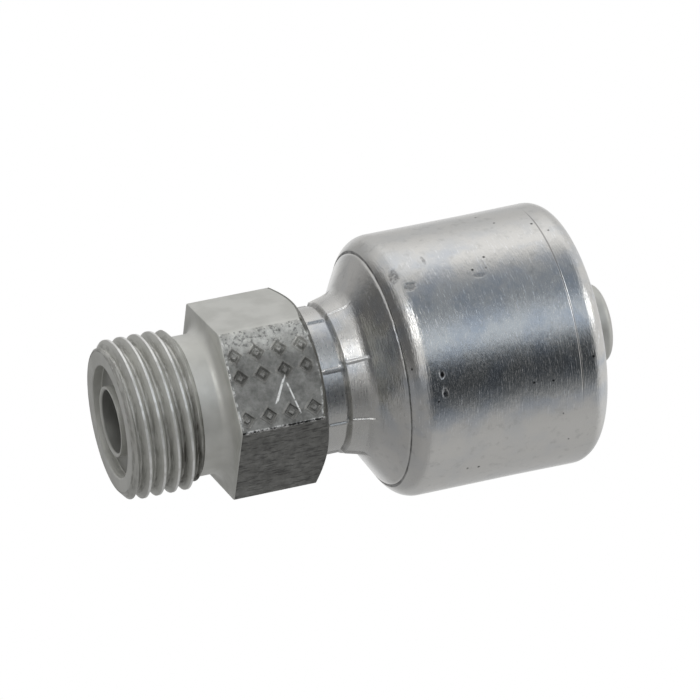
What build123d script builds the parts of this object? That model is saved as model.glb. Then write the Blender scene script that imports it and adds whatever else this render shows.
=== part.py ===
from build123d import *
import os
from math import cos, radians, sqrt, tan

os.makedirs("parts", exist_ok=True)

# A crimp hose end with an O-ring face seal: a one-piece turned stem, and the ferrule staked to it.
# Sizes are in mm. +Z is the common axis, from the sealing face at z = 0 to the hose end.

# Sealing face and thread of the stem
bore_d = 6.9  # flow bore, right through
bore_break = 0.2  # chamfer at the port end of the bore
end_break = 0.1  # chamfer at the hose end of the bore
face_d = 15.7  # flat sealing face, over its outer edge
groove_od = 12.3  # O-ring groove, outer wall
groove_w = 2.3  # O-ring groove, wall to wall
groove_depth = 1.15
groove_break = 0.12  # chamfer at the groove's outer edge
boss_recess = 0.1  # the ring inside the groove stands this far below the face
thread_d = 17.46  # 11/16 in thread, over its crests
lead_in = 0.75  # length of the chamfer that starts the thread
thread_len = 7.3  # sealing face to the run-out of the thread
runout = 0.9  # length of the cone from the thread down to the relief
relief_d = 15.3
relief_len = 3.1  # end of the run-out to the hexagon
relief_fillet = 1.3

# Hexagon
hex_af = 19.05  # 3/4 in across the flats
hex_len = 10.2
hex_edge = 0.35  # rounding of the six long edges
hex_crown = 30  # degrees, of the chamfer that cuts the rear corners
hex_crown_d = 19.0  # circle that is left flat on the rear face

# Neck that the ferrule is staked to, behind the hexagon
neck_d = 13.2
neck_len = 6.9  # hexagon to the shoulder that stops the hose
neck_break = 0.4
stake_start = 1.5  # hexagon to the staking groove
stake_w = 2.4
stake_depth = 0.7

# Hose insert
insert_root_d = 8.7  # bottom of the grooves between the barbs
barb_d = 9.6
barb_count = 6
barb_pitch = 3.4
barb_rise = 0.34  # length of a barb's steep side
barb_land = 0.68  # length of its tip
insert_len = 28.2  # hose stop to the end of the stem
nose_d = 8.9
nose_len = 5.6
nose_round = 0.8

# Ferrule, outside
ferrule_len = 30.7  # hexagon to the rear face
ferrule_d = 28.9
rim_d = 29.1  # the open end is a little wider, before its edge is rounded
flare_len = 9.0  # length over which it widens
rear_round = 2.1
shoulder_round = 2.7
cone_slope = 57.7  # degrees from the axis
front_band_d = 15.95
front_band_len = 2.85  # hexagon to the die mark
mark_w = 0.3  # die mark, a sharp groove round the collar
mark_depth = 0.15
rear_band_d = 16.6  # where the rear band starts, behind the die mark
rear_band_slope = 14.5  # degrees from the axis
collar_len = 5.5  # hexagon to the corner between collar and cone
collar_fillet = 2.0
crease_w = 0.3  # sharp groove near the top of the cone
crease_depth = 0.12
crease_back = 0.3  # from the start of the shoulder's round, down the cone

# Ferrule, inside
stake_clear = 0.1  # between collar and neck, all round
cone_wall = 2.3
ferrule_wall = 2.75
inner_fillet = 1.5
rib_d = 21.2  # over the tips of the grip ribs
rib_count = 5
rib_pitch = 3.2
rib_tip = 0.8
rib_foot = 1.8
first_rib = 3.5  # end of the inner cone to the middle of the first rib
mouth_d = 21.4
mouth_len = 1.6
mouth_break = 0.5

# Flash ridges that the staking jaws leave on the collar
ridge_count = 8
ridge_w = 0.3
ridge_h = 0.18
ridge_root = 0.4  # how deep a ridge is rooted in the collar
ridge_gap = 0.5  # hexagon to the ridges

wall_share = 0.9  # the most of a wall's width that the rounding of its edge takes

# Stations along the axis
hex_z = thread_len + runout + relief_len
neck_z = hex_z + hex_len
stop_z = neck_z + neck_len
stem_z = stop_z + insert_len
rear_z = neck_z + ferrule_len


def turned(corners):
    """Revolve a closed outline of (radius, height, fillet) corners about the axis."""
    with BuildPart() as piece:
        with BuildSketch(Plane.XZ):
            with BuildLine():
                FilletPolyline(
                    [(r, z) for r, z, _ in corners],
                    radius=[fillet for _, _, fillet in corners],
                    close=True,
                )
            make_face()
        revolve(axis=Axis.Z)
    return piece.part


def barbs(root_r, tip_r, start_z, pitch, count, rise, land):
    """Saw-tooth corners: each barb is steep towards the hexagon and slopes towards the hose end."""
    corners = []
    for i in range(count):
        z = start_z + i * pitch
        corners += [(root_r, z, 0), (tip_r, z + rise, 0), (tip_r, z + rise + land, 0)]
    return corners + [(root_r, start_z + count * pitch, 0)]


def ribs(root_r, tip_r, middle_z, pitch, count, tip_w, foot_w):
    """Trapezoid corners of the grip ribs, from the open end down to the cone."""
    corners = []
    for i in reversed(range(count)):
        z = middle_z + i * pitch
        corners += [(root_r, z + foot_w / 2, 0), (tip_r, z + tip_w / 2, 0)]
        corners += [(tip_r, z - tip_w / 2, 0), (root_r, z - foot_w / 2, 0)]
    return corners


# Stem
bore_r = bore_d / 2
groove_r = groove_od / 2
boss_r = groove_r - groove_w
neck_r = neck_d / 2
stake_r = neck_r - stake_depth
stake_z = neck_z + stake_start
barb_z = stem_z - nose_len - barb_count * barb_pitch
nose_wall = nose_d / 2 - bore_r - end_break

port_end = turned(
    [
        (bore_r + bore_break, boss_recess, 0),
        (boss_r, boss_recess, 0),
        (boss_r, groove_depth, 0),
        (groove_r, groove_depth, 0),
        (groove_r, groove_break, 0),
        (groove_r + groove_break, 0, 0),
        (face_d / 2, 0, 0),
        (thread_d / 2, lead_in, 0),
        (thread_d / 2, thread_len, 0),
        (relief_d / 2, thread_len + runout, 0),
        (relief_d / 2, hex_z, relief_fillet),
        (hex_af / 2, hex_z, 0),
        (hex_af / 2, hex_z + hex_len / 2, 0),
        (bore_r, hex_z + hex_len / 2, 0),
        (bore_r, boss_recess + bore_break, 0),
    ]
)

hose_end = turned(
    [
        (bore_r, hex_z + hex_len / 2, 0),
        (hex_af / 2, hex_z + hex_len / 2, 0),
        (hex_af / 2, neck_z, 0),
        (neck_r, neck_z, 0),
        (neck_r, stake_z, 0),
        (stake_r, stake_z + stake_depth, 0),
        (stake_r, stake_z + stake_w - stake_depth, 0),
        (neck_r, stake_z + stake_w, 0),
        (neck_r, stop_z - neck_break, 0),
        (neck_r - neck_break, stop_z, 0),
        (insert_root_d / 2, stop_z, 0),
        *barbs(insert_root_d / 2, barb_d / 2, barb_z, barb_pitch, barb_count, barb_rise, barb_land),
        (nose_d / 2, stem_z - nose_len, 0),
        (nose_d / 2, stem_z, min(nose_round, wall_share * nose_wall)),
        (bore_r + end_break, stem_z, 0),
        (bore_r, stem_z - end_break, 0),
    ]
)

# The hexagon is cut from bar, and a cone takes its rear corners off down to the crown circle.
corner_r = hex_af / sqrt(3)
crown_drop = (corner_r - hex_crown_d / 2) * tan(radians(hex_crown))
with BuildPart() as hexagon:
    with BuildSketch(Plane.XY.offset(hex_z)) as bar:
        RegularPolygon(radius=corner_r, side_count=6)
        fillet(bar.vertices(), hex_edge)
        Circle(bore_r, mode=Mode.SUBTRACT)
    extrude(amount=hex_len)
crown = turned(
    [
        (0, hex_z, 0),
        (corner_r, hex_z, 0),
        (corner_r, neck_z - crown_drop, 0),
        (hex_crown_d / 2, neck_z, 0),
        (0, neck_z, 0),
    ]
)
stem = port_end + hose_end + (hexagon.part & crown)

# Ferrule
band_r = front_band_d / 2
mark_z = neck_z + front_band_len
rear_band_r = rear_band_d / 2
corner_z = neck_z + collar_len
corner_band_r = rear_band_r + (corner_z - mark_z - mark_w) * tan(radians(rear_band_slope))
ferrule_r = ferrule_d / 2
shoulder_z = corner_z + (ferrule_r - corner_band_r) / tan(radians(cone_slope))
collar_bore_r = neck_r + stake_clear
tooth_r = stake_r + stake_clear
tooth_start = stake_z + stake_clear
tooth_end = stake_z + stake_w - stake_clear
hollow_r = ferrule_r - ferrule_wall
inner_lift = cone_wall / cos(radians(cone_slope))
cone_run = tan(radians(cone_slope))
inner_start_z = corner_z + (collar_bore_r - corner_band_r + inner_lift) / cone_run
inner_end_z = corner_z + (hollow_r - corner_band_r + inner_lift) / cone_run
rib_z = inner_end_z + first_rib
mouth_r = mouth_d / 2
rear_wall = rim_d / 2 - mouth_r - mouth_break

ferrule_body = turned(
    [
        (collar_bore_r, neck_z, 0),
        (band_r, neck_z, 0),
        (band_r, mark_z - mark_w, 0),
        (band_r - mark_depth, mark_z, 0),
        (rear_band_r, mark_z + mark_w, 0),
        (corner_band_r, corner_z, collar_fillet),
        (ferrule_r, shoulder_z, shoulder_round),
        (ferrule_r, rear_z - flare_len, 0),
        (rim_d / 2, rear_z, min(rear_round, wall_share * rear_wall)),
        (mouth_r + mouth_break, rear_z, 0),
        (mouth_r, rear_z - mouth_break, 0),
        (mouth_r, rear_z - mouth_len, 0),
        (hollow_r, rear_z - mouth_len - abs(hollow_r - mouth_r), 0),
        *ribs(hollow_r, rib_d / 2, rib_z, rib_pitch, rib_count, rib_tip, rib_foot),
        (hollow_r, inner_end_z, inner_fillet),
        (collar_bore_r, inner_start_z, 0),
        (collar_bore_r, tooth_end, 0),
        (tooth_r, tooth_end - stake_depth, 0),
        (tooth_r, tooth_start + stake_depth, 0),
        (collar_bore_r, tooth_start, 0),
    ]
)

# The crease is a sharp ring groove at the top of the cone, just short of the shoulder's round.
turn = radians(cone_slope)
crease_reach = (shoulder_round * tan(turn / 2) + crease_back) * cos(turn)
crease_z = shoulder_z - crease_reach
crease_r = ferrule_r - crease_reach * cone_run
crease = turned(
    [
        (crease_r - crease_depth, crease_z + crease_depth, 0),
        (crease_r - crease_w / 2, crease_z - crease_w, 0),
        (crease_r + crease_w, crease_z, 0),
    ]
)

# Each ridge is a thin radial slab, trimmed to an outline that follows both bands.
ridge_outline = turned(
    [
        (band_r - ridge_root, neck_z + ridge_gap, 0),
        (band_r, neck_z + ridge_gap, 0),
        (band_r + ridge_h, neck_z + ridge_gap + ridge_h, 0),
        (band_r + ridge_h, mark_z, 0),
        (rear_band_r + ridge_h, mark_z + mark_w, 0),
        (corner_band_r + ridge_h, corner_z, 0),
        (corner_band_r - ridge_root, corner_z, 0),
        (band_r - ridge_root, mark_z, 0),
    ]
)
ridge_reach = corner_band_r + ridge_h
with BuildPart() as slabs:
    with PolarLocations(ridge_reach / 2, ridge_count):
        with Locations((0, 0, (neck_z + corner_z) / 2)):
            Box(ridge_reach, ridge_w, collar_len)
ridges = ridge_outline & slabs.part

ferrule = (ferrule_body - crease) + ridges

for name, shape in {"stem": stem, "ferrule": ferrule}.items():
    export_step(shape, f"parts/{name}.step")
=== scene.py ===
import bmesh
import bpy
import numpy as np
from math import cos, pi, radians, sin, tan
from mathutils import Matrix, Vector


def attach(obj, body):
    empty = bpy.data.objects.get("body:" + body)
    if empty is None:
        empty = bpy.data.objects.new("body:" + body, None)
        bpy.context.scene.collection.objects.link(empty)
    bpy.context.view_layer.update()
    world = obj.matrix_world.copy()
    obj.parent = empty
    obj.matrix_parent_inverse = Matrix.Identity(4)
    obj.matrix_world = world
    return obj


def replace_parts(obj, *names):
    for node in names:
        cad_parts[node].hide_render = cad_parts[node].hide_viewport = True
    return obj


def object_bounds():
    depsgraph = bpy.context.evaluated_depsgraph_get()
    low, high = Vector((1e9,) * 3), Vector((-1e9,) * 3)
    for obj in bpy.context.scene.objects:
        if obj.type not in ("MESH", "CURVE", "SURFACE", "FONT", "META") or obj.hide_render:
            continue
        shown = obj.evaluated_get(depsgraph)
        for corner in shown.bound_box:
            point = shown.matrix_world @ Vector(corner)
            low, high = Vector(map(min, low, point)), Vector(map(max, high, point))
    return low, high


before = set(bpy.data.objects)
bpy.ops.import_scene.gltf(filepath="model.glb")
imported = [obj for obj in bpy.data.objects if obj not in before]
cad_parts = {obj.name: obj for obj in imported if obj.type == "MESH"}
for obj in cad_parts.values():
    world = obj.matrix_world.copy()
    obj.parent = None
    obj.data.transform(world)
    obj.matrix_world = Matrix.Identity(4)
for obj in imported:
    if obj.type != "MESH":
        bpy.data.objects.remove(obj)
cadLow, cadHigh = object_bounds()
mm = 0.001
print("frame loaded:", sorted(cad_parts))


class Wire:
    # one output socket of a node tree; arithmetic on it adds Math nodes to that tree
    def __init__(self, tree, socket):
        self.tree = tree
        self.socket = socket

    def math(self, operation, *others, flip=False):
        values = [*others, self] if flip else [self, *others]
        return make(self.tree, "ShaderNodeMath", {"operation": operation}, dict(enumerate(values)))

    def __add__(self, other):
        return self.math("ADD", other)

    def __radd__(self, other):
        return self.math("ADD", other, flip=True)

    def __sub__(self, other):
        return self.math("SUBTRACT", other)

    def __rsub__(self, other):
        return self.math("SUBTRACT", other, flip=True)

    def __mul__(self, other):
        return self.math("MULTIPLY", other)

    def __rmul__(self, other):
        return self.math("MULTIPLY", other, flip=True)

    def __truediv__(self, other):
        return self.math("DIVIDE", other)

    def __rtruediv__(self, other):
        return self.math("DIVIDE", other, flip=True)

    def __abs__(self):
        return self.math("ABSOLUTE")

    def __lt__(self, other):
        return self.math("LESS_THAN", other)

    def __gt__(self, other):
        return self.math("GREATER_THAN", other)

    def least(self, other):
        return self.math("MINIMUM", other)

    def most(self, other):
        return self.math("MAXIMUM", other)

    def clamp(self):
        return self.most(0.0).least(1.0)

    def ramp(self, low, high):
        # 0 at low, 1 at high, smooth between
        return make(self.tree, "ShaderNodeMapRange", {"interpolation_type": "SMOOTHSTEP"},
                    {"Value": self, "From Min": low, "From Max": high})

    def near(self, centre, halfWidth, soft):
        # 1 within halfWidth of centre, 0 past it by soft
        return 1.0 - abs(self - centre).ramp(halfWidth, halfWidth + soft)


def make(tree, kind, settings=None, inputs=None, output=0):
    # any node: its settings first, then the values or links of its sockets
    node = tree.nodes.new(kind)
    for key, value in (settings or {}).items():
        if key == "stops":
            while len(node.color_ramp.elements) < len(value):
                node.color_ramp.elements.new(0.5)
            for element, (place, colour) in zip(node.color_ramp.elements, value):
                element.position = place
                element.color = (*colour, 1)
        else:
            setattr(node, key, value)
    for key, value in (inputs or {}).items():
        socket = node.inputs[key]
        if isinstance(value, Wire):
            tree.links.new(value.socket, socket)
        else:
            socket.default_value = value
    return Wire(tree, node.outputs[output]) if node.outputs else None


def mixColour(tree, factor, first, second, blend="MIX"):
    # sockets 6 and 7 are the two colours, output 2 is the mixed one
    return make(tree, "ShaderNodeMix", {"data_type": "RGBA", "blend_type": blend},
                {0: factor, 6: first, 7: second}, 2)


def grey(tree, level):
    return make(tree, "ShaderNodeCombineXYZ", None, {0: level, 1: level, 2: level})


def noise(tree, vector, scale, detail=2.0, roughness=0.5):
    return make(tree, "ShaderNodeTexNoise", {"noise_dimensions": "3D"},
                {"Vector": vector, "Scale": scale, "Detail": detail, "Roughness": roughness})


def stretched(tree, vector, factors):
    return make(tree, "ShaderNodeVectorMath", {"operation": "MULTIPLY"}, {0: vector, 1: factors})


def grain(tree, place, kind):
    # a noise with one fineness across the axis and another along it
    across, along, detail, roughness = kind
    return noise(tree, stretched(tree, place, (across, across, along)), 1.0, detail, roughness)


def specks(tree, vector, scale, share, size):
    # 1 in round specks of that size, in that share of the cells
    distance = make(tree, "ShaderNodeTexVoronoi", None, {"Vector": vector, "Scale": scale}, "Distance")
    colour = Wire(tree, distance.socket.node.outputs["Color"])
    chance = make(tree, "ShaderNodeSeparateColor", None, {0: colour})
    return 1.0 - (distance - (chance < share) * size * scale).ramp(-0.06, 0.02)


def paint(tree, colour, factor, over):
    return mixColour(tree, factor, colour, (*over, 1))


# outlines in mm: corners are (radius, height, fillet), and straight runs are divided
def outline(corners, step, arcStep=0.12):
    places = [np.array(c[:2], float) for c in corners]
    path = []
    for i, place in enumerate(places):
        fillet = corners[i][2]
        if fillet == 0 or i in (0, len(places) - 1):
            path.append([place])
            continue
        before = places[i - 1] - place
        after = places[i + 1] - place
        before /= np.linalg.norm(before)
        after /= np.linalg.norm(after)
        half = np.arccos(np.clip(before @ after, -1, 1)) / 2
        reach = fillet / tan(half)
        middle = (before + after) / np.linalg.norm(before + after)
        centre = place + middle * fillet / sin(half)
        turn = pi - 2 * half
        count = max(3, int(np.ceil(turn * fillet / arcStep)))
        start = place + before * reach - centre
        end = place + after * reach - centre
        arc = []
        for k in range(count + 1):
            t = k / count
            direction = (sin((1 - t) * turn) * start + sin(t * turn) * end) / sin(turn)
            arc.append(centre + direction)
        path.append(arc)
    points = [path[0][0]]
    for group in path[1:]:
        gap = np.linalg.norm(group[0] - points[-1])
        count = max(1, int(np.ceil(gap / step - 1e-6)))
        first = points[-1]
        points += [first + (group[0] - first) * k / count for k in range(1, count + 1)]
        points += group[1:]
    return points


def columns(count, groups, squeeze):
    # angles round the axis, closer together at each of the evenly spaced group places
    u = np.arange(count) * 2 * pi / count
    return u - squeeze * np.sin(groups * u) / groups


def turnedMesh(name, rows, angles):
    # rows are (radii, heights) round the axis, in a loop; the result is a closed ring of quads
    count = len(angles)
    radii = np.array([np.broadcast_to(r, count) for r, z in rows])
    heights = np.array([np.broadcast_to(z, count) for r, z in rows])
    points = np.stack([radii * np.cos(angles), radii * np.sin(angles), heights], axis=-1)
    points = points.reshape(-1, 3) * mm
    total = len(rows)
    row, column = np.meshgrid(np.arange(total), np.arange(count), indexing="ij")
    nextRow, nextColumn = (row + 1) % total, (column + 1) % count
    quads = np.stack([row * count + column, row * count + nextColumn,
                      nextRow * count + nextColumn, nextRow * count + column], axis=-1).reshape(-1, 4)
    mesh = bpy.data.meshes.new(name)
    mesh.from_pydata(points.tolist(), [], quads.tolist())
    piece = bpy.data.objects.new(name, mesh)
    bpy.context.scene.collection.objects.link(piece)
    return piece


def volumeOf(mesh):
    mesh.calc_loop_triangles()
    triangles = np.zeros(len(mesh.loop_triangles) * 3, np.int32)
    mesh.loop_triangles.foreach_get("vertices", triangles)
    points = np.zeros(len(mesh.vertices) * 3)
    mesh.vertices.foreach_get("co", points)
    a, b, c = points.reshape(-1, 3)[triangles.reshape(-1, 3)].transpose(1, 0, 2)
    return float(np.einsum("ij,ij->i", a, np.cross(b, c)).sum() / 6)


# Geometry Nodes: a tree with one field expression that gives each point its new place
def newTree(name, inputs):
    tree = bpy.data.node_groups.new(name, "GeometryNodeTree")
    tree.interface.new_socket("Geometry", in_out="INPUT", socket_type="NodeSocketGeometry")
    tree.interface.new_socket("Geometry", in_out="OUTPUT", socket_type="NodeSocketGeometry")
    for label in inputs:
        tree.interface.new_socket(label, in_out="INPUT", socket_type="NodeSocketFloat")
    entry = tree.nodes.new("NodeGroupInput")
    wires = {label: Wire(tree, entry.outputs[label]) for label in ["Geometry", *inputs]}
    return tree, wires


def cylindrical(tree, vector):
    # radius, height and turns (-0.5 to 0.5) about the axis
    parts = tree.nodes.new("ShaderNodeSeparateXYZ")
    tree.links.new(vector.socket, parts.inputs[0])
    x, y, z = (Wire(tree, s) for s in parts.outputs)
    return (x * x + y * y).math("SQRT"), z, y.math("ARCTAN2", x) / (2 * pi)


def movePoints(tree, ins, chosen, radius, turns, height):
    angle = turns * (2 * pi)
    place = make(tree, "ShaderNodeCombineXYZ", None,
                 {0: radius * angle.math("COSINE"), 1: radius * angle.math("SINE"), 2: height})
    return make(tree, "GeometryNodeSetPosition", None,
                {"Geometry": ins["Geometry"], "Selection": chosen, "Position": place})


def bakeTree(piece, tree, values):
    # runs the tree on the piece with its inputs set, and keeps the result as a plain mesh
    modifier = piece.modifiers.new(tree.name, "NODES")
    modifier.node_group = tree
    for item in tree.interface.items_tree:
        if item.in_out == "INPUT" and item.name in values:
            modifier[item.identifier] = values[item.name]
    shaped = piece.evaluated_get(bpy.context.evaluated_depsgraph_get())
    mesh = bpy.data.meshes.new_from_object(shaped)
    piece.modifiers.remove(modifier)
    old = piece.data
    piece.data = mesh
    bpy.data.meshes.remove(old)
    mesh.name = piece.name
    return piece


# sizes of the stem, in mm, the same as the frame's
stem = {
    "boreR": 3.45, "boreBreak": 0.2, "noseBreak": 0.1, "recess": 0.1, "bossR": 3.85,
    "grooveR": 6.15, "grooveDepth": 1.15, "grooveCorner": 0.12, "grooveBreak": 0.12,
    "faceR": 7.85, "threadR": 8.73, "rootR": 7.78, "pitch": 1.5875, "crestWidth": 0.22, "rootWidth": 0.2,
    "leadIn": 0.75, "threadLen": 7.3, "runout": 0.9, "crestAtZero": 0.388,
    "reliefR": 7.65, "hexZ": 11.3, "reliefFillet": 1.3,
    "hexR": 9.525, "hexEdge": 0.35, "softEdge": 1.1, "softCorner": 240, "hexLen": 10.2,
    "frontBreak": 0.12, "crownR": 9.5, "crownSlope": 30,
    "neckR": 6.6, "neckLen": 6.9, "neckBreak": 0.4, "stakeStart": 1.5, "stakeWidth": 2.4, "stakeDepth": 0.7,
    "insertR": 4.35, "barbR": 4.8, "barbCount": 6, "barbPitch": 3.4, "barbRise": 0.34, "barbLand": 0.68,
    "insertLen": 28.2, "noseR": 4.45, "noseLen": 5.6, "noseRound": 0.8,
    "columns": 252, "squeeze": 0.6, "threadRows": 124, "flatRows": 44, "crownRows": 6,
}


def hexRadius(angles, flat, edge):
    # distance from the axis to a hexagon with rounded corners, one corner at angle 0
    edge = np.broadcast_to(edge, np.shape(angles))
    offset = np.abs((angles + pi / 6) % (pi / 3) - pi / 6)
    centre = (flat - edge) / cos(pi / 6)
    tangent = np.arctan(edge * 0.5 / (centre + edge * cos(pi / 6)))
    round_ = centre * np.cos(offset) + np.sqrt(np.maximum(edge**2 - (centre * np.sin(offset)) ** 2, 0))
    return np.where(offset < tangent, round_, flat / np.cos(pi / 6 - offset))


def stemRows(s, angles):
    rearZ = s["hexZ"] + s["hexLen"]
    threadEnd = s["threadLen"] + s["runout"]
    rows = outline([
        (s["boreR"], s["recess"] + s["boreBreak"], 0),
        (s["boreR"] + s["boreBreak"], s["recess"], 0),
        (s["bossR"], s["recess"], 0),
        (s["bossR"], s["grooveDepth"], s["grooveCorner"]),
        (s["grooveR"], s["grooveDepth"], s["grooveCorner"]),
        (s["grooveR"], s["grooveBreak"], 0),
        (s["grooveR"] + s["grooveBreak"], 0, 0),
        (s["faceR"], 0, 0),
    ], step=0.3, arcStep=0.04)
    rows += [(s["threadR"], threadEnd * (j + 1) / s["threadRows"]) for j in range(s["threadRows"])]
    rows[-1] = (s["reliefR"], threadEnd)
    rows += outline([
        (s["reliefR"], threadEnd, 0),
        (s["reliefR"], s["hexZ"], s["reliefFillet"]),
        (s["hexR"] - 0.25, s["hexZ"], 0),
    ], step=0.3)[1:]
    worn = np.abs(np.degrees(angles) - s["softCorner"]) < 30
    edge = hexRadius(angles, s["hexR"], np.where(worn, s["softEdge"], s["hexEdge"]))
    e = s["frontBreak"]
    rows += [(edge - e * (1 - sin(a)), s["hexZ"] + e * (1 - cos(a))) for a in np.linspace(0, pi / 2, 4)]
    crownStart = rearZ - (edge - s["crownR"]) * tan(radians(s["crownSlope"]))
    flatStart = s["hexZ"] + e
    rows += [(edge, flatStart + (crownStart - flatStart) * k / s["flatRows"])
             for k in range(1, s["flatRows"] + 1)]
    shares = [k / s["crownRows"] for k in range(1, s["crownRows"] + 1)]
    rows += [(edge + (s["crownR"] - edge) * t, crownStart + (rearZ - crownStart) * t) for t in shares]
    stakeZ = rearZ + s["stakeStart"]
    stopZ = rearZ + s["neckLen"]
    endZ = stopZ + s["insertLen"]
    barbZ = endZ - s["noseLen"] - s["barbCount"] * s["barbPitch"]
    barbs = []
    for k in range(s["barbCount"]):
        z = barbZ + k * s["barbPitch"]
        barbs += [(s["insertR"], z, 0), (s["barbR"], z + s["barbRise"], 0),
                  (s["barbR"], z + s["barbRise"] + s["barbLand"], 0)]
    rows += outline([
        (s["crownR"], rearZ, 0),
        (s["neckR"], rearZ, 0),
        (s["neckR"], stakeZ, 0),
        (s["neckR"] - s["stakeDepth"], stakeZ + s["stakeDepth"], 0),
        (s["neckR"] - s["stakeDepth"], stakeZ + s["stakeWidth"] - s["stakeDepth"], 0),
        (s["neckR"], stakeZ + s["stakeWidth"], 0),
        (s["neckR"], stopZ - s["neckBreak"], 0),
        (s["neckR"] - s["neckBreak"], stopZ, 0),
        (s["insertR"], stopZ, 0),
        *barbs,
        (s["insertR"], endZ - s["noseLen"], 0),
        (s["noseR"], endZ - s["noseLen"], 0),
        (s["noseR"], endZ, s["noseRound"]),
        (s["boreR"] + s["noseBreak"], endZ, 0),
        (s["boreR"], endZ - s["noseBreak"], 0),
    ], step=2.0)[1:]
    return rows


def threadTree():
    # cuts a right-hand thread: the rows next to its crest and root edges are drawn onto them
    labels = ["Pitch", "Crest At Zero", "Crest Width", "Root Width", "Crest Radius", "Root Radius",
              "Face Radius", "Lead In", "Thread Length", "Runout", "Relief Radius", "Row Step"]
    tree, ins = newTree("cutThread", labels)
    place = make(tree, "GeometryNodeInputPosition")
    radius, height, turns = cylindrical(tree, place)
    pitch, step = ins["Pitch"], ins["Row Step"]
    crestHalf = ins["Crest Width"] / 2
    rootStart = (pitch - ins["Root Width"]) / 2
    phase = (height - turns * pitch - ins["Crest At Zero"]).math("WRAP", pitch / 2, pitch / -2)
    shift = 0.0
    for corner in (crestHalf, crestHalf * -1, rootStart, rootStart * -1):
        shift = (abs(phase - corner) < step / 2) * (corner - phase) + shift
    newHeight = height + shift
    away = abs(phase + shift)
    depth = ins["Crest Radius"] - ins["Root Radius"]
    form = ins["Crest Radius"] - ((away - crestHalf) / (rootStart - crestHalf)).clamp() * depth
    lead = ins["Face Radius"] + (ins["Crest Radius"] - ins["Face Radius"]) * newHeight / ins["Lead In"]
    ending = ins["Crest Radius"] - (newHeight - ins["Thread Length"]) / ins["Runout"] * (
        ins["Crest Radius"] - ins["Relief Radius"])
    newRadius = form.least(lead).least(ending)
    last = ins["Thread Length"] + ins["Runout"] - step / 2
    outer = radius > (ins["Relief Radius"] + ins["Root Radius"]) / 2
    chosen = outer * (height > step / 2) * (height < last)
    moved = movePoints(tree, ins, chosen, newRadius, turns, newHeight)
    cut = make(tree, "GeometryNodeTriangulate", {"quad_method": "FIXED"}, {0: moved})
    solid = make(tree, "GeometryNodeRealizeInstances", None, {0: cut})
    finishTree(tree, solid, "stemZinc")
    return tree


# rows of plain diamond dents on the near face of the hexagon; lengths in mm
# a row is (distance from the face's middle line, shift along the axis); faceTurn is where the face looks
marks = {
    "rows": ((-2.8, 0.0), (-0.42, 0.12), (4.1, -0.2)), "firstZ": 12.45, "spacing": 2.5, "size": 0.62,
    "line": 0.26, "depth": 0.2, "rim": 0.07, "pitDepth": 0.08, "pitScale": 2.6, "pitFrom": 0.56, "pitGain": 5,
    "faceTurn": -0.25, "pitFade": (-4.6, -1.2), "edgeFade": (4.9, 5.3), "endFade": 0.2,
    "start": 0.5, "end": 0.8, "fineStart": 0.4, "fineEnd": 0.7, "fineAngles": (-118, -62),
}


def markTree(m):
    # presses the marks into the face and roughens it; across is the distance from the face's middle line
    labels = ["First Mark", "Spacing", "Mark Size", "Line Width", "Depth", "Rim", "Pit Depth",
              "Flat Radius", "Start", "End"]
    tree, ins = newTree("pressMarks", labels)
    place = make(tree, "GeometryNodeInputPosition")
    radius, height, turns = cylindrical(tree, place)
    start, end, spacing = ins["Start"], ins["End"], ins["Spacing"]
    around = turns - m["faceTurn"]
    across = (around * (2 * pi)).math("TANGENT") * ins["Flat Radius"]
    line = ins["Line Width"]
    sink = 0.0
    for offset, shift in m["rows"]:
        along = (height - ins["First Mark"] - shift * mm).math("WRAP", spacing / 2, spacing / -2)
        ring = abs(abs(along) + abs(across - offset * mm) - ins["Mark Size"])
        groove = 1.0 - ring.ramp(line * 0.2, line)
        rim = ring.near(line * 1.3, line * 0.2, line * 0.5)
        sink = groove * ins["Depth"] - rim * ins["Rim"] + sink
    rough = noise(tree, stretched(tree, place, (1 / mm,) * 3), m["pitScale"], 3.0, 0.65)
    upper = 1.0 - across.ramp(*(edge * mm for edge in m["pitFade"])) * 0.75
    pits = (rough - m["pitFrom"]).most(0.0) * m["pitGain"] * ins["Pit Depth"] * upper
    fade = m["endFade"] * mm
    inside = height.ramp(start, start + fade) * (1.0 - height.ramp(end - fade, end))
    inside = inside * (1.0 - abs(across).ramp(*(edge * mm for edge in m["edgeFade"])))
    onFace = (radius > ins["Flat Radius"] - 0.02 * mm) * (abs(around) < 1 / 12)
    newRadius = radius - (sink + pits) * inside
    moved = movePoints(tree, ins, onFace, newRadius, turns, height)
    finishTree(tree, make(tree, "GeometryNodeRealizeInstances", None, {0: moved}), "stemZinc")
    return tree


def refine(piece, low, high, first, last):
    # divides the edges of one patch in three, between two heights in mm and two angles in degrees
    work = bmesh.new()
    work.from_mesh(piece.data)
    outside = (stem["hexR"] - 0.1) * mm
    chosen = {v for v in work.verts if low * mm < v.co.z < high * mm and v.co.xy.length > outside
              and first < np.degrees(np.arctan2(v.co.y, v.co.x)) < last}
    edges = [e for e in work.edges if e.verts[0] in chosen and e.verts[1] in chosen]
    bmesh.ops.subdivide_edges(work, edges=edges, cuts=2, use_grid_fill=True)
    bmesh.ops.triangulate(work, faces=[f for f in work.faces if len(f.verts) > 4])
    work.to_mesh(piece.data)
    work.free()


def finishTree(tree, geometry, material):
    coated = make(tree, "GeometryNodeSetMaterial", None,
                  {"Geometry": geometry, "Material": bpy.data.materials[material]})
    end = tree.nodes.new("NodeGroupOutput")
    tree.links.new(coated.socket, end.inputs[0])


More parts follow.
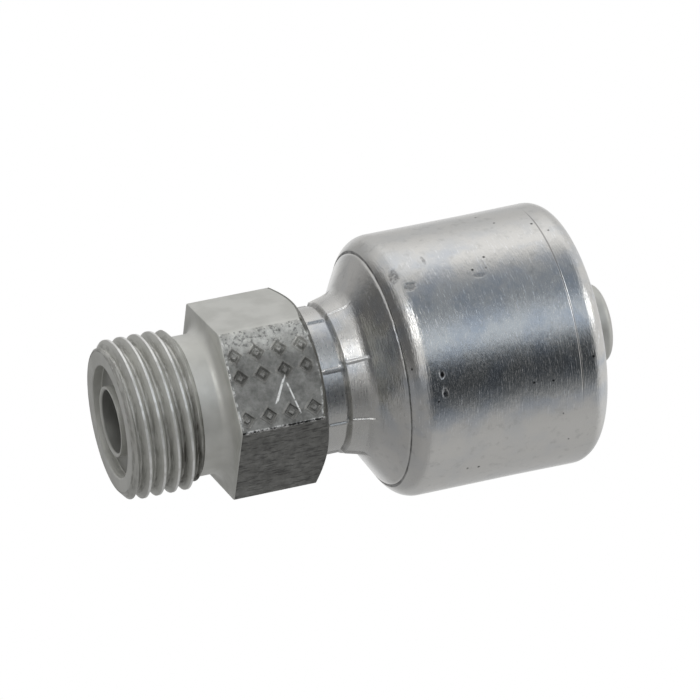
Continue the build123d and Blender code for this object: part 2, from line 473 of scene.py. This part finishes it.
# sizes of the ferrule, in mm; creaseForm goes across the crease as (place in widths, share of the depth)
ferrule = {
    "frontZ": 21.5, "rearZ": 52.2, "boreR": 6.7,
    "bandR": 7.975, "markZ": 24.35, "markWidth": 0.3, "markDepth": 0.15,
    "rearBandR": 8.3, "rearBandSlope": 14.5, "cornerZ": 27.0, "collarFillet": 2.0,
    "outerR": 14.45, "coneSlope": 57.7, "shoulderRound": 2.7,
    "creaseWidth": 0.34, "creaseDepth": 0.16, "creaseBack": 0.3,
    "creaseForm": ((-1.2, 0), (-0.7, 0.15), (-0.35, 0.8), (-0.15, 1.0), (0.0, 0.75), (0.2, 0.2)),
    "rimR": 14.55, "flareLen": 9.0, "rearRound": 2.1,
    "mouthR": 10.7, "mouthBreak": 0.5, "mouthLen": 1.6, "hollowR": 11.7, "coneWall": 2.3, "innerFillet": 1.5,
    "ribR": 10.6, "ribCount": 5, "ribPitch": 3.2, "ribTip": 0.8, "ribFoot": 1.8, "firstRib": 3.5,
    "toothR": 6.0, "toothStart": 23.1, "toothEnd": 25.3, "toothDepth": 0.7,
    "ridgeCount": 8, "ridgeWidth": 0.46, "ridgeHeight": 0.18, "ridgeGap": 0.3, "ridgeTwist": 3.0,
    "columns": 304, "squeeze": 0.8,
}


def conePlaces(s):
    # radius at the collar's corner, height where cone and cylinder would meet, then the crease's own two
    slope = radians(s["coneSlope"])
    cornerR = s["rearBandR"] + (s["cornerZ"] - s["markZ"] - s["markWidth"]) * tan(radians(s["rearBandSlope"]))
    shoulderZ = s["cornerZ"] + (s["outerR"] - cornerR) / tan(slope)
    reach = (s["shoulderRound"] * tan(slope / 2) + s["creaseBack"]) * cos(slope)
    return cornerR, shoulderZ, s["outerR"] - reach * tan(slope), shoulderZ - reach


def ferruleRows(s):
    slope = radians(s["coneSlope"])
    cornerR, shoulderZ, creaseR, creaseZ = conePlaces(s)
    collar = outline([
        (s["boreR"], s["frontZ"], 0),
        (s["bandR"], s["frontZ"], 0.15),
        (s["bandR"], s["markZ"] - s["markWidth"], 0),
        (s["bandR"] - s["markDepth"], s["markZ"], 0),
        (s["rearBandR"], s["markZ"] + s["markWidth"], 0.1),
        (cornerR, s["cornerZ"], s["collarFillet"]),
        (creaseR - 2 * s["creaseWidth"] * sin(slope), creaseZ - 2 * s["creaseWidth"] * cos(slope), 0),
    ], step=0.12, arcStep=0.1)
    along = np.array([sin(slope), cos(slope)])
    inward = np.array([-cos(slope), sin(slope)])
    crease = np.array([creaseR, creaseZ])
    groove = [crease + along * s["creaseWidth"] * t + inward * s["creaseDepth"] * d
              for t, d in s["creaseForm"]]
    top = outline([
        (*(crease + along * s["creaseBack"] / 2), 0),
        (s["outerR"], shoulderZ, s["shoulderRound"]),
        (s["outerR"], s["rearZ"] - s["flareLen"], 0),
    ], step=0.6)
    ribs = []
    innerLift = s["coneWall"] / cos(slope)
    innerStart = s["cornerZ"] + (s["boreR"] - cornerR + innerLift) / tan(slope)
    innerEnd = s["cornerZ"] + (s["hollowR"] - cornerR + innerLift) / tan(slope)
    for k in reversed(range(s["ribCount"])):
        z = innerEnd + s["firstRib"] + k * s["ribPitch"]
        ribs += [(s["hollowR"], z + s["ribFoot"] / 2, 0), (s["ribR"], z + s["ribTip"] / 2, 0),
                 (s["ribR"], z - s["ribTip"] / 2, 0), (s["hollowR"], z - s["ribFoot"] / 2, 0)]
    inside = outline([
        (s["outerR"], s["rearZ"] - s["flareLen"], 0),
        (s["rimR"], s["rearZ"], s["rearRound"]),
        (s["mouthR"] + s["mouthBreak"], s["rearZ"], 0),
        (s["mouthR"], s["rearZ"] - s["mouthBreak"], 0),
        (s["mouthR"], s["rearZ"] - s["mouthLen"], 0),
        (s["hollowR"], s["rearZ"] - s["mouthLen"] - (s["hollowR"] - s["mouthR"]), 0),
        *ribs,
        (s["hollowR"], innerEnd, s["innerFillet"]),
        (s["boreR"], innerStart, 0),
        (s["boreR"], s["toothEnd"], 0),
        (s["toothR"], s["toothEnd"] - s["toothDepth"], 0),
        (s["toothR"], s["toothStart"] + s["toothDepth"], 0),
        (s["boreR"], s["toothStart"], 0),
    ], step=0.4)[1:]
    return collar + groove + top + inside


def ridgeTree():
    # raises the flash ridges that the staking jaws leave round the collar
    labels = ["Count", "Width", "Height", "Start", "Front Radius", "Mark", "End", "Twist"]
    tree, ins = newTree("raiseRidges", labels)
    place = make(tree, "GeometryNodeInputPosition")
    radius, height, turns = cylindrical(tree, place)
    share = 0.5 / ins["Count"]
    half = ins["Width"] / 2
    wander = ins["Twist"] * (1.0 - height.ramp(ins["Mark"] - half, ins["Mark"] + half))
    around = abs((turns - wander).math("WRAP", share, share * -1)) * radius * (2 * pi)
    across = 1.0 - around.ramp(half * 0.25, half)
    # the ridge starts short of the hexagon, fades on the cone, and has a hump where it crosses the die mark
    along = height.ramp(ins["Start"], ins["Start"] + ins["Width"]) * (
        1.0 - height.ramp(ins["End"] - ins["Width"], ins["End"] + ins["Width"]))
    outer = radius > (ins["Front Radius"] - ins["Height"] * 2)
    hump = 1.0 - abs(height - ins["Mark"]).ramp(ins["Width"] * 0.2, ins["Width"])
    spread = 1.0 - around.ramp(half, half * 3)
    newRadius = radius + ins["Height"] * (across * along).most(hump * spread * 0.8)
    chosen = outer * (height < ins["End"] + ins["Width"] * 2)
    moved = movePoints(tree, ins, chosen, newRadius, turns, height)
    solid = make(tree, "GeometryNodeRealizeInstances", None, {0: moved})
    finishTree(tree, solid, "ferruleZinc")
    return tree


# how the zinc looks on each piece, with painted light and shade in places; lengths in mm, places round the
# axis in turns
# a noise is (fineness across the axis, fineness along it, detail, roughness); a fade is (from, to)
stemFinish = {
    "colour": (0.70, 0.70, 0.665), "shade": (0.61, 0.61, 0.575), "brightAndHighlight": (0.92, 0.92, 0.90),
    "dirtAndShade": (0.09, 0.085, 0.07), "roughness": 0.42, "spread": 0.12, "metallic": 0.5, "bump": 0.35,
    "broad": (0.35, 0.35, 3.0, 0.5), "fine": (2.6, 2.6, 3.0, 0.65), "scale": (3.0, 0.7, 4.0, 0.6),
    "streaks": (0.5, 5.0, 3.0, 0.6), "patchy": (1.1, 1.1, 4.0, 0.6), "worn": (0.9, 0.9, 2.0, 0.5),
    "hexTopLitTone": 0.95, "hexMiddleShadedTone": 0.36, "hexLowShadedTone": 0.28, "middleLightFade": (-4.6, -1.4), "pitFade": (-4.4, -1.6),
    "pit": 0.5, "patches": 1.6, "boreShade": 0.62, "grooveShade": 0.4,
    "rearEdgeDarkLevel": 0.8, "edgeBright": 0.75, "sideEdgeBrightAt": 5.0,
    "crestFade": (0.07, 0.02), "crestHighlightTurns": (-0.27, 0.2, 0.12), "flankHighlightTurns": (-0.33, 0.07, 0.06),
    "lastTurnsShade": (3.0, 7.5), "lowSide": (-0.3, -0.12),
    "scratches": ((17.44, 0.16, 16.04, 2.63), (17.1, 0.6, 15.8, 2.8), (17.46, 1.04, 18.14, 4.1)),
}
ferruleFinish = {
    "colour": (0.76, 0.75, 0.725), "shade": (0.60, 0.63, 0.67), "stain": (0.56, 0.56, 0.545),
    "streakHighlight": (0.95, 0.96, 0.98), "dirtAndShade": (0.06, 0.06, 0.06), "collar": (0.42, 0.42, 0.41),
    "roughness": 0.17, "spread": 0.1, "metallic": 1.0, "bump": 0.3,
    "broad": (0.3, 0.3, 4.0, 0.5), "fine": (3.0, 3.0, 4.0, 0.6), "lathe": (0.2, 8.0, 3.0, 0.5),
    "drawn": (0.9, 7.0, 3.0, 0.6), "patchy": (0.9, 0.9, 5.0, 0.65),
    "coolReflectionPlace": (-0.25, 0.09, 0.06), "specks": (0.75, 0.22, 0.17), "specksFrom": 3,
    "rimLine": (48.7, 0.04, 0.07), "rimTurns": (-0.28, 0.1, 0.05),
    "collarShadeSide": (-0.22, -0.16), "collarFade": 0.6,
    # each dent is (height, place round, half height, half width round, strength)
    "dents": ((33.0, -0.204, 0.35, 0.6, 1.0), (33.1, -0.181, 0.4, 0.75, 1.0), (32.2, -0.318, 0.9, 0.7, 0.5),
              (31.0, -0.338, 0.7, 1.2, 0.6), (34.8, -0.352, 0.25, 0.8, 0.45), (40.0, -0.314, 0.9, 0.4, 0.3),
              (46.4, -0.124, 0.14, 0.14, 0.9), (47.4, -0.079, 0.14, 0.14, 0.9),
              (36.0, -0.06, 0.18, 0.25, 0.6)),
}


def emptyMaterial(name):
    material = bpy.data.materials.new(name)
    material.use_nodes = True
    material.node_tree.nodes.clear()
    return material, material.node_tree


def newMaterial(name):
    # the place on the piece is in mm
    tree = emptyMaterial(name)[1]
    coords = tree.nodes.new("ShaderNodeTexCoord")
    return tree, stretched(tree, Wire(tree, coords.outputs["Object"]), (1 / mm, 1 / mm, 1 / mm))


def finishMaterial(tree, f, colour, roughness, bump):
    normal = make(tree, "ShaderNodeBump", None, {"Height": bump, "Strength": f["bump"], "Distance": 0.1 * mm})
    shader = make(tree, "ShaderNodeBsdfPrincipled", None,
                  {"Base Color": colour, "Roughness": roughness, "Metallic": f["metallic"], "Normal": normal})
    make(tree, "ShaderNodeOutputMaterial", None, {"Surface": shader})


def makeStemZinc():
    f, s = stemFinish, stem
    tree, place = newMaterial("stemZinc")
    radius, height, turns = cylindrical(tree, place)
    broad, fine, scale, streaks, patchy, worn = (
        grain(tree, place, f[kind]) for kind in ("broad", "fine", "scale", "streaks", "patchy", "worn"))
    colour = paint(tree, (*f["colour"], 1), broad.ramp(0.35, 0.65), f["shade"])

    # the bar's own faces are darker than what was turned; painted light and shade sit on top: the top face is
    # kept light, the middle and low faces are painted in shade, and the middle face is painted lighter
    # towards its top edge
    face = marks["faceTurn"]
    onTop, onMiddle, onLow = (turns.near(face + side / 6, 1 / 12, 0.002) for side in (-1, 0, 1))
    across = (turns - face) * (2 * pi) * s["hexR"]
    # painted light: the middle face fades from the top face's lit tone near their shared edge to its own
    # shaded tone
    middle = f["hexTopLitTone"] + across.ramp(*f["middleLightFade"]) * (f["hexMiddleShadedTone"] - f["hexTopLitTone"])
    tone = onMiddle * (middle - 1) + onLow * (f["hexLowShadedTone"] - 1) + onTop * (f["hexTopLitTone"] - 1) + 1.0
    rearZ = s["hexZ"] + s["hexLen"]
    onHexagon = (radius > s["hexR"] - 0.35) * (height > s["hexZ"] + 0.1) * (height < rearZ - 0.02)
    tone = onHexagon * (tone - 1.0) + 1.0

    # dark pits and scale on the two rough faces; painted shade darkens the bore and the O-ring groove
    onRough = onHexagon * (onMiddle + onLow)
    upper = 1.0 - across.ramp(*f["pitFade"]) * 0.75
    pitted = (fine.ramp(0.52, 0.6) * upper * onMiddle + scale.ramp(0.5, 0.62) * onLow) * onRough
    tone = tone * (1.0 - pitted * f["pit"])
    tone = tone * (1.0 + (patchy - 0.5) * onRough * f["patches"])
    # painted shade inside the bore and in the O-ring groove
    boreShadeAmount = (1.0 - radius.ramp(s["boreR"] - 0.05, s["boreR"] + 0.15)) * f["boreShade"]
    betweenWalls = (radius > s["bossR"] + 0.05) * (radius < s["grooveR"] - 0.05)
    grooveShadeAmount = (height > 0.3) * betweenWalls * (height < s["grooveDepth"] + 0.15) * f["grooveShade"]
    tone = tone * (1.0 - boreShadeAmount) * (1.0 - grooveShadeAmount)
    colour = mixColour(tree, 1.0, colour, grey(tree, tone), "MULTIPLY")

    # the edges of the rough faces get ragged bright lines in places, with a dark line just past the rear one
    pastRear = height - (rearZ - 0.2 - (radius - s["crownR"]) * tan(radians(s["crownSlope"])))
    frontEdgeBright = height.near(s["hexZ"] + 0.22, 0.07, 0.08) * fine.ramp(0.4, 0.52)
    rearEdgeBright = pastRear.near(-0.12, 0.06, 0.08) * fine.ramp(0.42, 0.55)
    rearEdgeDark = pastRear.near(0.12, 0.1, 0.08) * fine.ramp(0.3, 0.45)
    sideEdgeBright = across.near(f["sideEdgeBrightAt"], 0.1, 0.12) * fine.ramp(0.42, 0.52)
    colour = paint(tree, colour, rearEdgeDark * onHexagon * (onMiddle + onTop) * f["rearEdgeDarkLevel"], f["dirtAndShade"])
    edgeBright = ((frontEdgeBright + rearEdgeBright) * onRough * onMiddle + sideEdgeBright * onHexagon).clamp()
    colour = paint(tree, colour, edgeBright * patchy.ramp(0.38, 0.6) * f["edgeBright"], f["brightAndHighlight"])

    # bright scratches on the middle face, each from one (height, distance across) to another
    for fromZ, fromAcross, toZ, toAcross in f["scratches"]:
        slope = (toZ - fromZ) / (toAcross - fromAcross)
        line = abs(height - fromZ - (across - fromAcross) * slope).ramp(0.03, 0.14)
        span = across.near((fromAcross + toAcross) / 2, abs(toAcross - fromAcross) / 2, 0.15)
        scratch = (1.0 - line) * span * onHexagon * onMiddle * fine.ramp(0.3, 0.5)
        colour = paint(tree, colour, scratch, f["brightAndHighlight"])

    # painted highlights on the crests, dirt and painted shade in the roots, and painted highlights on streaks
    # of the flanks
    onThread = height < s["threadLen"] + s["runout"]
    crestFrom, crestTo = (s["threadR"] - drop for drop in f["crestFade"])
    # painted highlight along the crests, only on one side round the axis
    brightAndHighlight = radius.ramp(crestFrom, crestTo) * onThread * turns.near(*f["crestHighlightTurns"])
    colour = paint(tree, colour, brightAndHighlight * (0.35 + worn.ramp(0.35, 0.6) * 0.65), f["brightAndHighlight"])
    # dirt and painted shade in the roots, streaked, and painted darker on the low side of the last turns
    between = 1.0 - radius.ramp(s["rootR"] + 0.1, s["threadR"] - 0.1)
    between = between * onThread * (radius > s["reliefR"] + 0.02)
    lastTurnsShade = height.ramp(*f["lastTurnsShade"]) * turns.ramp(*f["lowSide"])
    rootDirtAndShade = 0.15 + streaks.ramp(0.42, 0.6) * 0.35 + lastTurnsShade * 0.5
    colour = paint(tree, colour, between * rootDirtAndShade, f["dirtAndShade"])
    # painted highlight on streaks of the flanks, only on one side round the axis
    flankHighlight = between * streaks.ramp(0.56, 0.7) * turns.near(*f["flankHighlightTurns"])
    colour = paint(tree, colour, flankHighlight * 0.6, f["brightAndHighlight"])
    roughness = f["roughness"] + (fine - 0.5) * f["spread"] - brightAndHighlight * 0.1
    bump = fine * 0.35 + streaks * 0.4 + (scale * onLow + fine * onMiddle * 2) * onRough
    finishMaterial(tree, f, colour, roughness, bump)


def makeFerruleZinc():
    f, s = ferruleFinish, ferrule
    tree, place = newMaterial("ferruleZinc")
    radius, height, turns = cylindrical(tree, place)
    # drawn is the short streaks that run round, as the drawing tools left them
    broad, fine, lathe, drawn, patchy = (
        grain(tree, place, f[kind]) for kind in ("broad", "fine", "lathe", "drawn", "patchy"))
    # a blue-grey mottle lies lightly over the ferrule; a painted cool reflection makes it strong in one band
    # round the axis
    coolReflection = turns.near(*f["coolReflectionPlace"])
    colour = paint(tree, (*f["colour"], 1), broad.ramp(0.4, 0.7) * (0.25 + coolReflection * 0.75), f["shade"])
    colour = paint(tree, colour, patchy.ramp(0.52, 0.7) * 0.5, f["stain"])
    # painted highlights on the drawn streaks inside that band
    colour = paint(tree, colour, drawn.ramp(0.58, 0.7) * coolReflection * 0.7, f["streakHighlight"])
    dots = specks(tree, place, *f["specks"]) * (height > s["cornerZ"] + f["specksFrom"])
    colour = paint(tree, colour, dots, f["dirtAndShade"])

    # small dents and smears with ragged outlines
    ragged = (patchy - 0.5) * 1.6
    dents = 0.0
    for z, turn, tall, wide, strength in f["dents"]:
        up = (height - z) / tall
        aside = (turns - turn) * (2 * pi * s["outerR"]) / wide
        far = (up * up + aside * aside).math("SQRT") + ragged
        dents = (1.0 - far.ramp(0.45, 1.05)) * strength + dents
    colour = paint(tree, colour, dents.clamp() * (0.4 + fine.ramp(0.4, 0.55) * 0.6), f["dirtAndShade"])

    # painted shade darkens the crease and the die mark, a faint line runs before the rim, and painted shade
    # darkens the collar's lower side
    slope = radians(s["coneSlope"])
    creaseR, creaseZ = conePlaces(s)[2:]
    upCone = (radius - creaseR) * sin(slope) + (height - creaseZ) * cos(slope)
    inCrease = upCone.near(0.02, 0.1, 0.08) * radius.near(creaseR, 0.6, 0.1)
    inMark = height.near(s["markZ"] + 0.05, 0.08, 0.12) * (radius < s["rearBandR"] + 0.1)
    # painted shade in the crease and the die mark
    recessShade = (inCrease * 0.85 + inMark * 0.35) * (0.6 + patchy.ramp(0.4, 0.6) * 0.4)
    colour = paint(tree, colour, recessShade, f["dirtAndShade"])
    onCollar = 1.0 - height.ramp(s["cornerZ"] - f["collarFade"], s["cornerZ"] + f["collarFade"])
    rimLine = height.near(*f["rimLine"]) * turns.near(*f["rimTurns"])
    colour = paint(tree, colour, rimLine * 0.5, f["dirtAndShade"])
    # painted shade on the lower side of the collar
    colour = paint(tree, colour, onCollar * turns.ramp(*f["collarShadeSide"]) * 0.45, f["collar"])
    roughness = f["roughness"] + (fine - 0.5) * f["spread"] + (drawn - 0.5) * 0.12 + onCollar * 0.12
    bump = fine * 0.25 + lathe * 0.35 + drawn * (0.3 + coolReflection) + patchy * (0.35 + onCollar)
    finishMaterial(tree, f, colour, roughness, bump - rimLine * 1.5 - dents * 2.5)


# edges that turn by more than this, in degrees, are shaded sharp
sharpAngle = 40


def smoothPiece(piece, degrees):
    mesh = piece.data
    if volumeOf(mesh) < 0:
        mesh.flip_normals()
    mesh.shade_smooth()
    mesh.set_sharp_from_angle(angle=radians(degrees))
    mesh.update()


def makeStem():
    s = stem
    angles = columns(s["columns"], 6, s["squeeze"])
    piece = turnedMesh("fittingStem", stemRows(s, angles), angles)
    step = (s["threadLen"] + s["runout"]) / s["threadRows"]
    values = {"Pitch": s["pitch"], "Crest At Zero": s["crestAtZero"], "Crest Width": s["crestWidth"],
              "Root Width": s["rootWidth"], "Crest Radius": s["threadR"], "Root Radius": s["rootR"],
              "Face Radius": s["faceR"], "Lead In": s["leadIn"], "Thread Length": s["threadLen"],
              "Runout": s["runout"], "Relief Radius": s["reliefR"], "Row Step": step}
    bakeTree(piece, threadTree(), {label: value * mm for label, value in values.items()})
    m = marks
    rearZ = s["hexZ"] + s["hexLen"]
    refine(piece, s["hexZ"] + m["fineStart"], rearZ - m["fineEnd"], *m["fineAngles"])
    values = {"First Mark": m["firstZ"], "Spacing": m["spacing"], "Mark Size": m["size"],
              "Line Width": m["line"], "Depth": m["depth"], "Rim": m["rim"], "Pit Depth": m["pitDepth"],
              "Flat Radius": s["hexR"], "Start": s["hexZ"] + m["start"], "End": rearZ - m["end"]}
    bakeTree(piece, markTree(m), {label: value * mm for label, value in values.items()})
    smoothPiece(piece, sharpAngle)
    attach(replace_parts(piece, "stem"), "root")
    return piece


def makeFerrule():
    s = ferrule
    angles = columns(s["columns"], s["ridgeCount"], s["squeeze"])
    piece = turnedMesh("crimpFerrule", ferruleRows(s), angles)
    values = {"Width": s["ridgeWidth"], "Height": s["ridgeHeight"], "Start": s["frontZ"] + s["ridgeGap"],
              "Front Radius": s["bandR"], "Mark": s["markZ"], "End": s["cornerZ"]}
    values = {label: value * mm for label, value in values.items()}
    bakeTree(piece, ridgeTree(), values | {"Count": float(s["ridgeCount"]), "Twist": s["ridgeTwist"] / 360})
    smoothPiece(piece, sharpAngle)
    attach(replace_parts(piece, "ferrule"), "root")
    return piece


makeStemZinc()
makeFerruleZinc()
stemPiece = makeStem()
print("stem made:", len(stemPiece.data.polygons), "faces")
ferrulePiece = makeFerrule()
print("ferrule made:", len(ferrulePiece.data.polygons), "faces")

# studio: a dome of light round the fitting, seen only in the metal
# azimuths are degrees round from the camera towards the picture's lower side, elevations towards the hose end
# a stop is (azimuth, brightness), a card (azimuth, elevation, width, height, brightness), a fade (from, to)
dome = {
    "radius": 0.45, "segments": 48, "turn": 14.9,
    "side": ((-180, 0.85), (-156, 0.55), (-135, 0.58), (-108, 0.9), (-92, 0.95), (-74, 0.4), (-58, 0.27),
             (-40, 0.27), (-24, 0.6), (-10, 0.62), (0, 0.09), (22, 0.03), (38, 0.1), (54, 0.4), (80, 0.46),
             (120, 0.44), (150, 0.48), (168, 0.8), (180, 0.85)),
    "left": ((-180, 0.38), (-150, 0.4), (-120, 0.62), (-50, 0.65), (-20, 0.9), (-2, 0.7), (20, 0.28),
             (60, 0.34), (120, 0.34), (180, 0.38)),
    "sideFade": (-10, 6), "pole": 0.13, "poleLow": 0.3, "lowFade": (-0.2, 0.9), "poleFade": (-48, -22),
    "rear": 0.7, "rearFade": (32, 55),
    "cool": (0.90, 1.0, 1.12), "coolAt": -12, "coolWidth": 40, "coolSoft": 35, "coolFade": (0, 10),
    "cards": ((-38, -10, 16, 8, 2.6), (-26, 56, 18, 10, 2.4)),
}
camera = {"azimuth": 8.29, "elevation": -16.63, "roll": 78.56, "lens": 257.14, "distance": 0.534,
          "faceX": 109.55, "faceY": 422.04, "pixels": 700, "sensor": 36.0, "nearest": 0.01, "farthest": 10}
keyLamp = {"azimuth": -48, "elevation": -5, "distance": 0.5, "size": 0.3, "power": 1.2}
worldLevel = 0.35


def stagePiece(name, mesh, material, hidden):
    piece = bpy.data.objects.new(name, mesh)
    bpy.context.scene.collection.objects.link(piece)
    mesh.materials.append(material)
    for ray in hidden:
        setattr(piece, "visible_" + ray, False)


def makeDome():
    s = dome
    mesh = bpy.data.meshes.new("lightDome")
    ball = bmesh.new()
    count = s["segments"]
    bmesh.ops.create_uvsphere(ball, u_segments=count, v_segments=count // 2, radius=s["radius"])
    ball.to_mesh(mesh)
    ball.free()
    material, tree = emptyMaterial("domeCloth")
    coords = tree.nodes.new("ShaderNodeTexCoord")
    place = make(tree, "ShaderNodeMapping", None, {
        "Vector": Wire(tree, coords.outputs["Object"]), "Rotation": (0, 0, radians(90 - s["turn"]))})
    radius, height, turns = cylindrical(tree, place)
    lift = height.math("ARCTAN2", radius) * (180 / pi)
    levels = []
    for part in ("left", "side"):
        stops = [((a + 180) / 360, (v, v, v)) for a, v in s[part]]
        levels.append(make(tree, "ShaderNodeValToRGB", {"stops": stops}, {"Fac": turns + 0.5}))
    level = mixColour(tree, lift.ramp(*s["sideFade"]), *levels)
    cool = turns.near(*(s[part] / 360 for part in ("coolAt", "coolWidth", "coolSoft")))
    cool = cool * lift.ramp(*s["coolFade"])
    level = mixColour(tree, cool, level, (*s["cool"], 1), "MULTIPLY")
    lowSide = (turns * (2 * pi)).math("SINE").ramp(*s["lowFade"])
    pole = grey(tree, lowSide * (s["poleLow"] - s["pole"]) + s["pole"])
    level = mixColour(tree, lift.ramp(*s["poleFade"]), pole, level)
    level = paint(tree, level, lift.ramp(*s["rearFade"]), (s["rear"],) * 3)
    for azimuth, elevation, width, tall, strength in s["cards"]:
        card = turns.near(azimuth / 360, width / 720, width / 720) * lift.near(elevation, tall / 2, tall / 2)
        level = mixColour(tree, 1.0, level, grey(tree, card * strength), "ADD")
    glow = make(tree, "ShaderNodeEmission", None, {"Color": level})
    make(tree, "ShaderNodeOutputMaterial", None, {"Surface": glow})
    stagePiece("lightDome", mesh, material, ("camera", "diffuse", "shadow"))


# the floor lies just under the sealing face and glows a little, so that it reads as white paper
floor = {"half": 0.6, "drop": 0.0002, "colour": 0.86, "glow": 0.6}


def makeFloor():
    s = floor
    mesh = bpy.data.meshes.new("floor")
    corners = [(x * s["half"], y * s["half"], -s["drop"]) for x, y in ((-1, -1), (1, -1), (1, 1), (-1, 1))]
    mesh.from_pydata(corners, [], [(0, 1, 2, 3)])
    material, tree = emptyMaterial("paleFloor")
    under = make(tree, "ShaderNodeNewGeometry", None, None, "Backfacing")
    cloth = make(tree, "ShaderNodeBsdfPrincipled", None, {
        "Base Color": (*(s["colour"],) * 3, 1), "Roughness": 1.0, "Specular IOR Level": 0.0,
        "Emission Color": (1, 1, 1, 1), "Emission Strength": s["glow"]})
    clear = make(tree, "ShaderNodeBsdfTransparent")
    both = make(tree, "ShaderNodeMixShader", None, {0: under, 1: cloth, 2: clear})
    make(tree, "ShaderNodeOutputMaterial", None, {"Surface": both})
    stagePiece("floor", mesh, material, ("diffuse", "glossy", "shadow", "transmission"))


def makeWorld():
    world = bpy.data.worlds.new("studio")
    bpy.context.scene.world = world
    world.use_nodes = True
    tree = world.node_tree
    tree.nodes.clear()
    rays = tree.nodes.new("ShaderNodeLightPath")
    seen = 0.0
    for label in ("Is Camera Ray", "Is Glossy Ray", "Is Transmission Ray"):
        seen = Wire(tree, rays.outputs[label]) + seen
    plain = make(tree, "ShaderNodeBackground", None, {"Color": (1, 1, 1, 1), "Strength": worldLevel})
    white = make(tree, "ShaderNodeBackground", None, {"Color": (1, 1, 1, 1), "Strength": 1.0})
    both = make(tree, "ShaderNodeMixShader", None, {0: seen.least(1.0), 1: plain, 2: white})
    make(tree, "ShaderNodeOutputWorld", None, {"Surface": both})


def makeLamp(name, s, target):
    data = bpy.data.lights.new(name, "AREA")
    data.shape = "SQUARE"
    data.size = s["size"]
    data.energy = s["power"]
    lamp = bpy.data.objects.new(name, data)
    bpy.context.scene.collection.objects.link(lamp)
    turn, lift = radians(camera["azimuth"] - 90 + s["azimuth"]), radians(s["elevation"])
    away = Vector((cos(turn) * cos(lift), sin(turn) * cos(lift), sin(lift)))
    lamp.location = Vector(target) + away * s["distance"]
    lamp.rotation_mode = "QUATERNION"
    lamp.rotation_quaternion = away.to_track_quat("Z", "Y")
    # the dome is what the metal mirrors; the lamp only lifts its matt share
    lamp.visible_glossy = False


def makeCamera():
    s = camera
    data = bpy.data.cameras.new("photoCamera")
    data.sensor_width = s["sensor"]
    data.lens = s["lens"]
    data.clip_start, data.clip_end = s["nearest"], s["farthest"]
    eye = bpy.data.objects.new("photoCamera", data)
    bpy.context.scene.collection.objects.link(eye)
    bpy.context.scene.camera = eye
    turn, lift = radians(s["azimuth"]), radians(s["elevation"])
    back = Vector((sin(turn) * cos(lift), -cos(turn) * cos(lift), sin(lift)))
    level = (-back).to_track_quat("-Z", "Y").to_matrix() @ Matrix.Rotation(radians(s["roll"]), 3, "Z")
    focal = s["lens"] / s["sensor"] * s["pixels"]
    right = (s["faceX"] - s["pixels"] / 2) / focal * s["distance"]
    down = (s["faceY"] - s["pixels"] / 2) / focal * s["distance"]
    eye.location = level @ Vector((-right, down, s["distance"]))
    eye.rotation_mode = "QUATERNION"
    eye.rotation_quaternion = level.to_quaternion()


makeDome()
makeFloor()
makeWorld()
makeLamp("keyLamp", keyLamp, (cadLow + cadHigh) / 2)
makeCamera()
bpy.context.scene.view_settings.view_transform = "Standard"
print("studio set")
